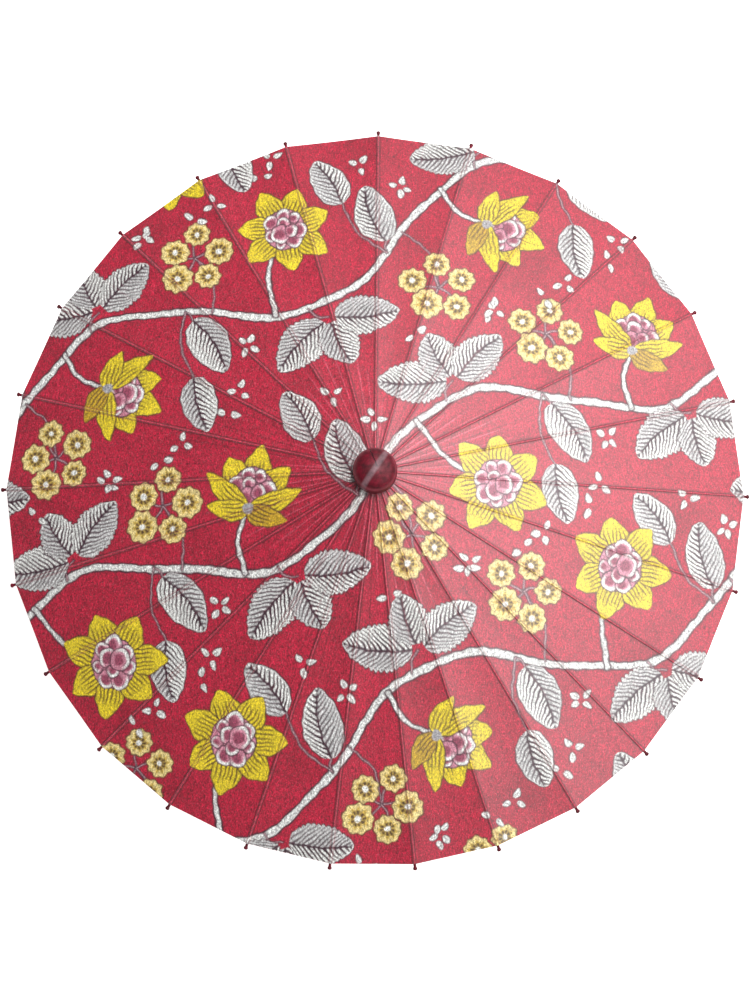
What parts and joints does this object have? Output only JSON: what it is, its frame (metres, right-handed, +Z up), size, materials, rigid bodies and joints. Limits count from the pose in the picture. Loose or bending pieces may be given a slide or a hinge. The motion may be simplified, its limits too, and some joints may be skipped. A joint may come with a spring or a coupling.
{
  "type": "oil paper umbrella",
  "caption": "hand umbrella with a straight shaft, a cap, a sliding runner and a printed oiled-paper canopy on split-bamboo ribs that open and fold",
  "frame": {"origin": "on the shaft axis inside the hand grip, 48 mm above the foot of the handle", "axes": "+Z runs up the shaft to the cap; +X and +Y are square to it; the catch faces -Y"},
  "size_m": [0.8412, 0.839, 0.558],
  "materials": {
    "bamboo_shaft": "varnished bamboo",
    "split_bamboo": "split bamboo, lightly oiled, dark red tips",
    "turned_wood": "turned pale wood, satin",
    "lacquer": "dark crimson lacquer on turned wood",
    "wire": "dull annealed wire",
    "oil_paper": "oiled fibre paper with a printed floral pattern"
  },
  "bodies": {
    "frame": {"shaft": "bamboo_shaft", "handle": "lacquer", "head": "turned_wood", "head_tie_wire": "wire", "top_cap": "lacquer", "catch_pin": "wire", "canopy": "oil_paper"},
    "runner": {"runner": "turned_wood", "runner_tie_wire": "wire"},
    "catch": {"catch": "bamboo_shaft"},
    "rib_01": {"rib_01": "split_bamboo"},
    "stretcher_01": {"stretcher_01": "split_bamboo"},
    "rib_02": {"rib_02": "split_bamboo"},
    "stretcher_02": {"stretcher_02": "split_bamboo"},
    "rib_03": {"rib_03": "split_bamboo"},
    "stretcher_03": {"stretcher_03": "split_bamboo"},
    "rib_04": {"rib_04": "split_bamboo"},
    "stretcher_04": {"stretcher_04": "split_bamboo"},
    "rib_05": {"rib_05": "split_bamboo"},
    "stretcher_05": {"stretcher_05": "split_bamboo"},
    "rib_06": {"rib_06": "split_bamboo"},
    "stretcher_06": {"stretcher_06": "split_bamboo"},
    "rib_07": {"rib_07": "split_bamboo"},
    "stretcher_07": {"stretcher_07": "split_bamboo"},
    "rib_08": {"rib_08": "split_bamboo"},
    "stretcher_08": {"stretcher_08": "split_bamboo"},
    "rib_09": {"rib_09": "split_bamboo"},
    "stretcher_09": {"stretcher_09": "split_bamboo"},
    "rib_10": {"rib_10": "split_bamboo"},
    "stretcher_10": {"stretcher_10": "split_bamboo"},
    "rib_11": {"rib_11": "split_bamboo"},
    "stretcher_11": {"stretcher_11": "split_bamboo"},
    "rib_12": {"rib_12": "split_bamboo"},
    "stretcher_12": {"stretcher_12": "split_bamboo"},
    "rib_13": {"rib_13": "split_bamboo"},
    "stretcher_13": {"stretcher_13": "split_bamboo"},
    "rib_14": {"rib_14": "split_bamboo"},
    "stretcher_14": {"stretcher_14": "split_bamboo"},
    "rib_15": {"rib_15": "split_bamboo"},
    "stretcher_15": {"stretcher_15": "split_bamboo"},
    "rib_16": {"rib_16": "split_bamboo"},
    "stretcher_16": {"stretcher_16": "split_bamboo"},
    "rib_17": {"rib_17": "split_bamboo"},
    "stretcher_17": {"stretcher_17": "split_bamboo"},
    "rib_18": {"rib_18": "split_bamboo"},
    "stretcher_18": {"stretcher_18": "split_bamboo"},
    "rib_19": {"rib_19": "split_bamboo"},
    "stretcher_19": {"stretcher_19": "split_bamboo"},
    "rib_20": {"rib_20": "split_bamboo"},
    "stretcher_20": {"stretcher_20": "split_bamboo"},
    "rib_21": {"rib_21": "split_bamboo"},
    "stretcher_21": {"stretcher_21": "split_bamboo"},
    "rib_22": {"rib_22": "split_bamboo"},
    "stretcher_22": {"stretcher_22": "split_bamboo"},
    "rib_23": {"rib_23": "split_bamboo"},
    "stretcher_23": {"stretcher_23": "split_bamboo"},
    "rib_24": {"rib_24": "split_bamboo"},
    "stretcher_24": {"stretcher_24": "split_bamboo"},
    "rib_25": {"rib_25": "split_bamboo"},
    "stretcher_25": {"stretcher_25": "split_bamboo"}
  },
  "joints": [
    {"name": "runner_slide", "type": "slide", "parent": "frame", "child": "runner", "axis": [0, 0, -1], "range_m": [0, 0.20446], "deforming": ["canopy", "catch"]},
    {"name": "catch_press", "type": "hinge", "parent": "frame", "child": "catch", "pos_m": [0, -0.0026, 0.25], "axis": [-1, 0, 0], "range_deg": [0, 7], "stiffness_Nm_per_rad": 0.05},
    {"name": "rib_01_hinge", "type": "hinge", "parent": "frame", "child": "rib_01", "pos_m": [0.00013, 0.014, 0.482], "axis": [-1, 0.0092, 0], "range_deg": [0, 65]},
    {"name": "stretcher_01_hinge", "type": "hinge", "parent": "rib_01", "child": "stretcher_01", "pos_m": [0.00156, 0.16997, 0.41424], "axis": [-1, 0.0092, 0], "range_deg": [-130, 0]},
    {"name": "rib_02_hinge", "type": "hinge", "parent": "frame", "child": "rib_02", "pos_m": [0.00369, 0.0135, 0.482], "axis": [-0.9646, 0.2638, 0], "range_deg": [0, 65]},
    {"name": "stretcher_02_hinge", "type": "hinge", "parent": "rib_02", "child": "stretcher_02", "pos_m": [0.04483, 0.16395, 0.41424], "axis": [-0.9646, 0.2638, 0], "range_deg": [-130, 0]},
    {"name": "rib_03_hinge", "type": "hinge", "parent": "frame", "child": "rib_03", "pos_m": [0.00703, 0.01211, 0.482], "axis": [-0.8647, 0.5022, 0], "range_deg": [0, 65]},
    {"name": "stretcher_03_hinge", "type": "hinge", "parent": "rib_03", "child": "stretcher_03", "pos_m": [0.08536, 0.14698, 0.41424], "axis": [-0.8647, 0.5022, 0], "range_deg": [-130, 0]},
    {"name": "rib_04_hinge", "type": "hinge", "parent": "frame", "child": "rib_04", "pos_m": [0.00992, 0.00988, 0.482], "axis": [-0.7055, 0.7087, 0], "range_deg": [0, 65]},
    {"name": "stretcher_04_hinge", "type": "hinge", "parent": "rib_04", "child": "stretcher_04", "pos_m": [0.12046, 0.11992, 0.41424], "axis": [-0.7055, 0.7087, 0], "range_deg": [-130, 0]},
    {"name": "rib_05_hinge", "type": "hinge", "parent": "frame", "child": "rib_05", "pos_m": [0.01215, 0.00695, 0.482], "axis": [-0.4964, 0.8681, 0], "range_deg": [0, 65]},
    {"name": "stretcher_05_hinge", "type": "hinge", "parent": "rib_05", "child": "stretcher_05", "pos_m": [0.14755, 0.08438, 0.41424], "axis": [-0.4964, 0.8681, 0], "range_deg": [-130, 0]},
    {"name": "rib_06_hinge", "type": "hinge", "parent": "frame", "child": "rib_06", "pos_m": [0.01355, 0.00353, 0.482], "axis": [-0.2521, 0.9677, 0], "range_deg": [0, 65]},
    {"name": "stretcher_06_hinge", "type": "hinge", "parent": "rib_06", "child": "stretcher_06", "pos_m": [0.16448, 0.04286, 0.41424], "axis": [-0.2521, 0.9677, 0], "range_deg": [-130, 0]},
    {"name": "rib_07_hinge", "type": "hinge", "parent": "frame", "child": "rib_07", "pos_m": [0.014, -0.00012, 0.482], "axis": [0.0086, 1, 0], "range_deg": [0, 65]},
    {"name": "stretcher_07_hinge", "type": "hinge", "parent": "rib_07", "child": "stretcher_07", "pos_m": [0.16997, -0.00146, 0.41424], "axis": [0.0086, 1, 0], "range_deg": [-130, 0]},
    {"name": "rib_08_hinge", "type": "hinge", "parent": "frame", "child": "rib_08", "pos_m": [0.0135, -0.00371, 0.482], "axis": [0.2653, 0.9642, 0], "range_deg": [0, 65]},
    {"name": "stretcher_08_hinge", "type": "hinge", "parent": "rib_08", "child": "stretcher_08", "pos_m": [0.16388, -0.04509, 0.41424], "axis": [0.2653, 0.9642, 0], "range_deg": [-130, 0]},
    {"name": "rib_09_hinge", "type": "hinge", "parent": "frame", "child": "rib_09", "pos_m": [0.01213, -0.00699, 0.482], "axis": [0.499, 0.8666, 0], "range_deg": [0, 65]},
    {"name": "stretcher_09_hinge", "type": "hinge", "parent": "rib_09", "child": "stretcher_09", "pos_m": [0.1473, -0.08481, 0.41424], "axis": [0.499, 0.8666, 0], "range_deg": [-130, 0]},
    {"name": "rib_10_hinge", "type": "hinge", "parent": "frame", "child": "rib_10", "pos_m": [0.01006, -0.00973, 0.482], "axis": [0.6952, 0.7188, 0], "range_deg": [0, 65]},
    {"name": "stretcher_10_hinge", "type": "hinge", "parent": "rib_10", "child": "stretcher_10", "pos_m": [0.12217, -0.11817, 0.41424], "axis": [0.6952, 0.7188, 0], "range_deg": [-130, 0]},
    {"name": "rib_11_hinge", "type": "hinge", "parent": "frame", "child": "rib_11", "pos_m": [0.00748, -0.01183, 0.482], "axis": [0.8453, 0.5343, 0], "range_deg": [0, 65]},
    {"name": "stretcher_11_hinge", "type": "hinge", "parent": "rib_11", "child": "stretcher_11", "pos_m": [0.09082, -0.14368, 0.41424], "axis": [0.8453, 0.5343, 0], "range_deg": [-130, 0]},
    {"name": "rib_12_hinge", "type": "hinge", "parent": "frame", "child": "rib_12", "pos_m": [0.00457, -0.01323, 0.482], "axis": [0.9453, 0.3262, 0], "range_deg": [0, 65]},
    {"name": "stretcher_12_hinge", "type": "hinge", "parent": "rib_12", "child": "stretcher_12", "pos_m": [0.05545, -0.16067, 0.41424], "axis": [0.9453, 0.3262, 0], "range_deg": [-130, 0]},
    {"name": "rib_13_hinge", "type": "hinge", "parent": "frame", "child": "rib_13", "pos_m": [0.00148, -0.01392, 0.482], "axis": [0.9944, 0.1055, 0], "range_deg": [0, 65]},
    {"name": "stretcher_13_hinge", "type": "hinge", "parent": "rib_13", "child": "stretcher_13", "pos_m": [0.01792, -0.16903, 0.41424], "axis": [0.9944, 0.1055, 0], "range_deg": [-130, 0]},
    {"name": "rib_14_hinge", "type": "hinge", "parent": "frame", "child": "rib_14", "pos_m": [-0.00167, -0.0139, 0.482], "axis": [0.9929, -0.1192, 0], "range_deg": [0, 65]},
    {"name": "stretcher_14_hinge", "type": "hinge", "parent": "rib_14", "child": "stretcher_14", "pos_m": [-0.02027, -0.16876, 0.41424], "axis": [0.9929, -0.1192, 0], "range_deg": [-130, 0]},
    {"name": "rib_15_hinge", "type": "hinge", "parent": "frame", "child": "rib_15", "pos_m": [-0.00476, -0.01317, 0.482], "axis": [0.9405, -0.3398, 0], "range_deg": [0, 65]},
    {"name": "stretcher_15_hinge", "type": "hinge", "parent": "rib_15", "child": "stretcher_15", "pos_m": [-0.05775, -0.15986, 0.41424], "axis": [0.9405, -0.3398, 0], "range_deg": [-130, 0]},
    {"name": "rib_16_hinge", "type": "hinge", "parent": "frame", "child": "rib_16", "pos_m": [-0.00766, -0.01172, 0.482], "axis": [0.8371, -0.5471, 0], "range_deg": [0, 65]},
    {"name": "stretcher_16_hinge", "type": "hinge", "parent": "rib_16", "child": "stretcher_16", "pos_m": [-0.09299, -0.14228, 0.41424], "axis": [0.8371, -0.5471, 0], "range_deg": [-130, 0]},
    {"name": "rib_17_hinge", "type": "hinge", "parent": "frame", "child": "rib_17", "pos_m": [-0.01022, -0.00957, 0.482], "axis": [0.6834, -0.73, 0], "range_deg": [0, 65]},
    {"name": "stretcher_17_hinge", "type": "hinge", "parent": "rib_17", "child": "stretcher_17", "pos_m": [-0.12408, -0.11617, 0.41424], "axis": [0.6834, -0.73, 0], "range_deg": [-130, 0]},
    {"name": "rib_18_hinge", "type": "hinge", "parent": "frame", "child": "rib_18", "pos_m": [-0.01225, -0.00677, 0.482], "axis": [0.4838, -0.8752, 0], "range_deg": [0, 65]},
    {"name": "stretcher_18_hinge", "type": "hinge", "parent": "rib_18", "child": "stretcher_18", "pos_m": [-0.14876, -0.08224, 0.41424], "axis": [0.4838, -0.8752, 0], "range_deg": [-130, 0]},
    {"name": "rib_19_hinge", "type": "hinge", "parent": "frame", "child": "rib_19", "pos_m": [-0.01356, -0.00347, 0.482], "axis": [0.2475, -0.9689, 0], "range_deg": [0, 65]},
    {"name": "stretcher_19_hinge", "type": "hinge", "parent": "rib_19", "child": "stretcher_19", "pos_m": [-0.16468, -0.04207, 0.41424], "axis": [0.2475, -0.9689, 0], "range_deg": [-130, 0]},
    {"name": "rib_20_hinge", "type": "hinge", "parent": "frame", "child": "rib_20", "pos_m": [-0.014, 0.00015, 0.482], "axis": [-0.0104, -0.9999, 0], "range_deg": [0, 65]},
    {"name": "stretcher_20_hinge", "type": "hinge", "parent": "rib_20", "child": "stretcher_20", "pos_m": [-0.16996, 0.00177, 0.41424], "axis": [-0.0104, -0.9999, 0], "range_deg": [-130, 0]},
    {"name": "rib_21_hinge", "type": "hinge", "parent": "frame", "child": "rib_21", "pos_m": [-0.01348, 0.00379, 0.482], "axis": [-0.2708, -0.9626, 0], "range_deg": [0, 65]},
    {"name": "stretcher_21_hinge", "type": "hinge", "parent": "rib_21", "child": "stretcher_21", "pos_m": [-0.16362, 0.04602, 0.41424], "axis": [-0.2708, -0.9626, 0], "range_deg": [-130, 0]},
    {"name": "rib_22_hinge", "type": "hinge", "parent": "frame", "child": "rib_22", "pos_m": [-0.01202, 0.00718, 0.482], "axis": [-0.5131, -0.8584, 0], "range_deg": [0, 65]},
    {"name": "stretcher_22_hinge", "type": "hinge", "parent": "rib_22", "child": "stretcher_22", "pos_m": [-0.1459, 0.08721, 0.41424], "axis": [-0.5131, -0.8584, 0], "range_deg": [-130, 0]},
    {"name": "rib_23_hinge", "type": "hinge", "parent": "frame", "child": "rib_23", "pos_m": [-0.00973, 0.01006, 0.482], "axis": [-0.7188, -0.6952, 0], "range_deg": [0, 65]},
    {"name": "stretcher_23_hinge", "type": "hinge", "parent": "rib_23", "child": "stretcher_23", "pos_m": [-0.11816, 0.12218, 0.41424], "axis": [-0.7188, -0.6952, 0], "range_deg": [-130, 0]},
    {"name": "rib_24_hinge", "type": "hinge", "parent": "frame", "child": "rib_24", "pos_m": [-0.0068, 0.01224, 0.482], "axis": [-0.874, -0.486, 0], "range_deg": [0, 65]},
    {"name": "stretcher_24_hinge", "type": "hinge", "parent": "rib_24", "child": "stretcher_24", "pos_m": [-0.0826, 0.14855, 0.41424], "axis": [-0.874, -0.486, 0], "range_deg": [-130, 0]},
    {"name": "rib_25_hinge", "type": "hinge", "parent": "frame", "child": "rib_25", "pos_m": [-0.00344, 0.01357, 0.482], "axis": [-0.9693, -0.246, 0], "range_deg": [0, 65]},
    {"name": "stretcher_25_hinge", "type": "hinge", "parent": "rib_25", "child": "stretcher_25", "pos_m": [-0.04181, 0.16475, 0.41424], "axis": [-0.9693, -0.246, 0], "range_deg": [-130, 0]}
  ],
  "couplings": [
    {"joint": "rib_01_hinge", "follows": "runner_slide", "rad_per_m": 5.5485},
    {"joint": "stretcher_01_hinge", "follows": "runner_slide", "rad_per_m": -11.097},
    {"joint": "rib_02_hinge", "follows": "runner_slide", "rad_per_m": 5.5485},
    {"joint": "stretcher_02_hinge", "follows": "runner_slide", "rad_per_m": -11.097},
    {"joint": "rib_03_hinge", "follows": "runner_slide", "rad_per_m": 5.5485},
    {"joint": "stretcher_03_hinge", "follows": "runner_slide", "rad_per_m": -11.097},
    {"joint": "rib_04_hinge", "follows": "runner_slide", "rad_per_m": 5.5485},
    {"joint": "stretcher_04_hinge", "follows": "runner_slide", "rad_per_m": -11.097},
    {"joint": "rib_05_hinge", "follows": "runner_slide", "rad_per_m": 5.5485},
    {"joint": "stretcher_05_hinge", "follows": "runner_slide", "rad_per_m": -11.097},
    {"joint": "rib_06_hinge", "follows": "runner_slide", "rad_per_m": 5.5485},
    {"joint": "stretcher_06_hinge", "follows": "runner_slide", "rad_per_m": -11.097},
    {"joint": "rib_07_hinge", "follows": "runner_slide", "rad_per_m": 5.5485},
    {"joint": "stretcher_07_hinge", "follows": "runner_slide", "rad_per_m": -11.097},
    {"joint": "rib_08_hinge", "follows": "runner_slide", "rad_per_m": 5.5485},
    {"joint": "stretcher_08_hinge", "follows": "runner_slide", "rad_per_m": -11.097},
    {"joint": "rib_09_hinge", "follows": "runner_slide", "rad_per_m": 5.5485},
    {"joint": "stretcher_09_hinge", "follows": "runner_slide", "rad_per_m": -11.097},
    {"joint": "rib_10_hinge", "follows": "runner_slide", "rad_per_m": 5.5485},
    {"joint": "stretcher_10_hinge", "follows": "runner_slide", "rad_per_m": -11.097},
    {"joint": "rib_11_hinge", "follows": "runner_slide", "rad_per_m": 5.5485},
    {"joint": "stretcher_11_hinge", "follows": "runner_slide", "rad_per_m": -11.097},
    {"joint": "rib_12_hinge", "follows": "runner_slide", "rad_per_m": 5.5485},
    {"joint": "stretcher_12_hinge", "follows": "runner_slide", "rad_per_m": -11.097},
    {"joint": "rib_13_hinge", "follows": "runner_slide", "rad_per_m": 5.5485},
    {"joint": "stretcher_13_hinge", "follows": "runner_slide", "rad_per_m": -11.097},
    {"joint": "rib_14_hinge", "follows": "runner_slide", "rad_per_m": 5.5485},
    {"joint": "stretcher_14_hinge", "follows": "runner_slide", "rad_per_m": -11.097},
    {"joint": "rib_15_hinge", "follows": "runner_slide", "rad_per_m": 5.5485},
    {"joint": "stretcher_15_hinge", "follows": "runner_slide", "rad_per_m": -11.097},
    {"joint": "rib_16_hinge", "follows": "runner_slide", "rad_per_m": 5.5485},
    {"joint": "stretcher_16_hinge", "follows": "runner_slide", "rad_per_m": -11.097},
    {"joint": "rib_17_hinge", "follows": "runner_slide", "rad_per_m": 5.5485},
    {"joint": "stretcher_17_hinge", "follows": "runner_slide", "rad_per_m": -11.097},
    {"joint": "rib_18_hinge", "follows": "runner_slide", "rad_per_m": 5.5485},
    {"joint": "stretcher_18_hinge", "follows": "runner_slide", "rad_per_m": -11.097},
    {"joint": "rib_19_hinge", "follows": "runner_slide", "rad_per_m": 5.5485},
    {"joint": "stretcher_19_hinge", "follows": "runner_slide", "rad_per_m": -11.097},
    {"joint": "rib_20_hinge", "follows": "runner_slide", "rad_per_m": 5.5485},
    {"joint": "stretcher_20_hinge", "follows": "runner_slide", "rad_per_m": -11.097},
    {"joint": "rib_21_hinge", "follows": "runner_slide", "rad_per_m": 5.5485},
    {"joint": "stretcher_21_hinge", "follows": "runner_slide", "rad_per_m": -11.097},
    {"joint": "rib_22_hinge", "follows": "runner_slide", "rad_per_m": 5.5485},
    {"joint": "stretcher_22_hinge", "follows": "runner_slide", "rad_per_m": -11.097},
    {"joint": "rib_23_hinge", "follows": "runner_slide", "rad_per_m": 5.5485},
    {"joint": "stretcher_23_hinge", "follows": "runner_slide", "rad_per_m": -11.097},
    {"joint": "rib_24_hinge", "follows": "runner_slide", "rad_per_m": 5.5485},
    {"joint": "stretcher_24_hinge", "follows": "runner_slide", "rad_per_m": -11.097},
    {"joint": "rib_25_hinge", "follows": "runner_slide", "rad_per_m": 5.5485},
    {"joint": "stretcher_25_hinge", "follows": "runner_slide", "rad_per_m": -11.097}
  ]
}
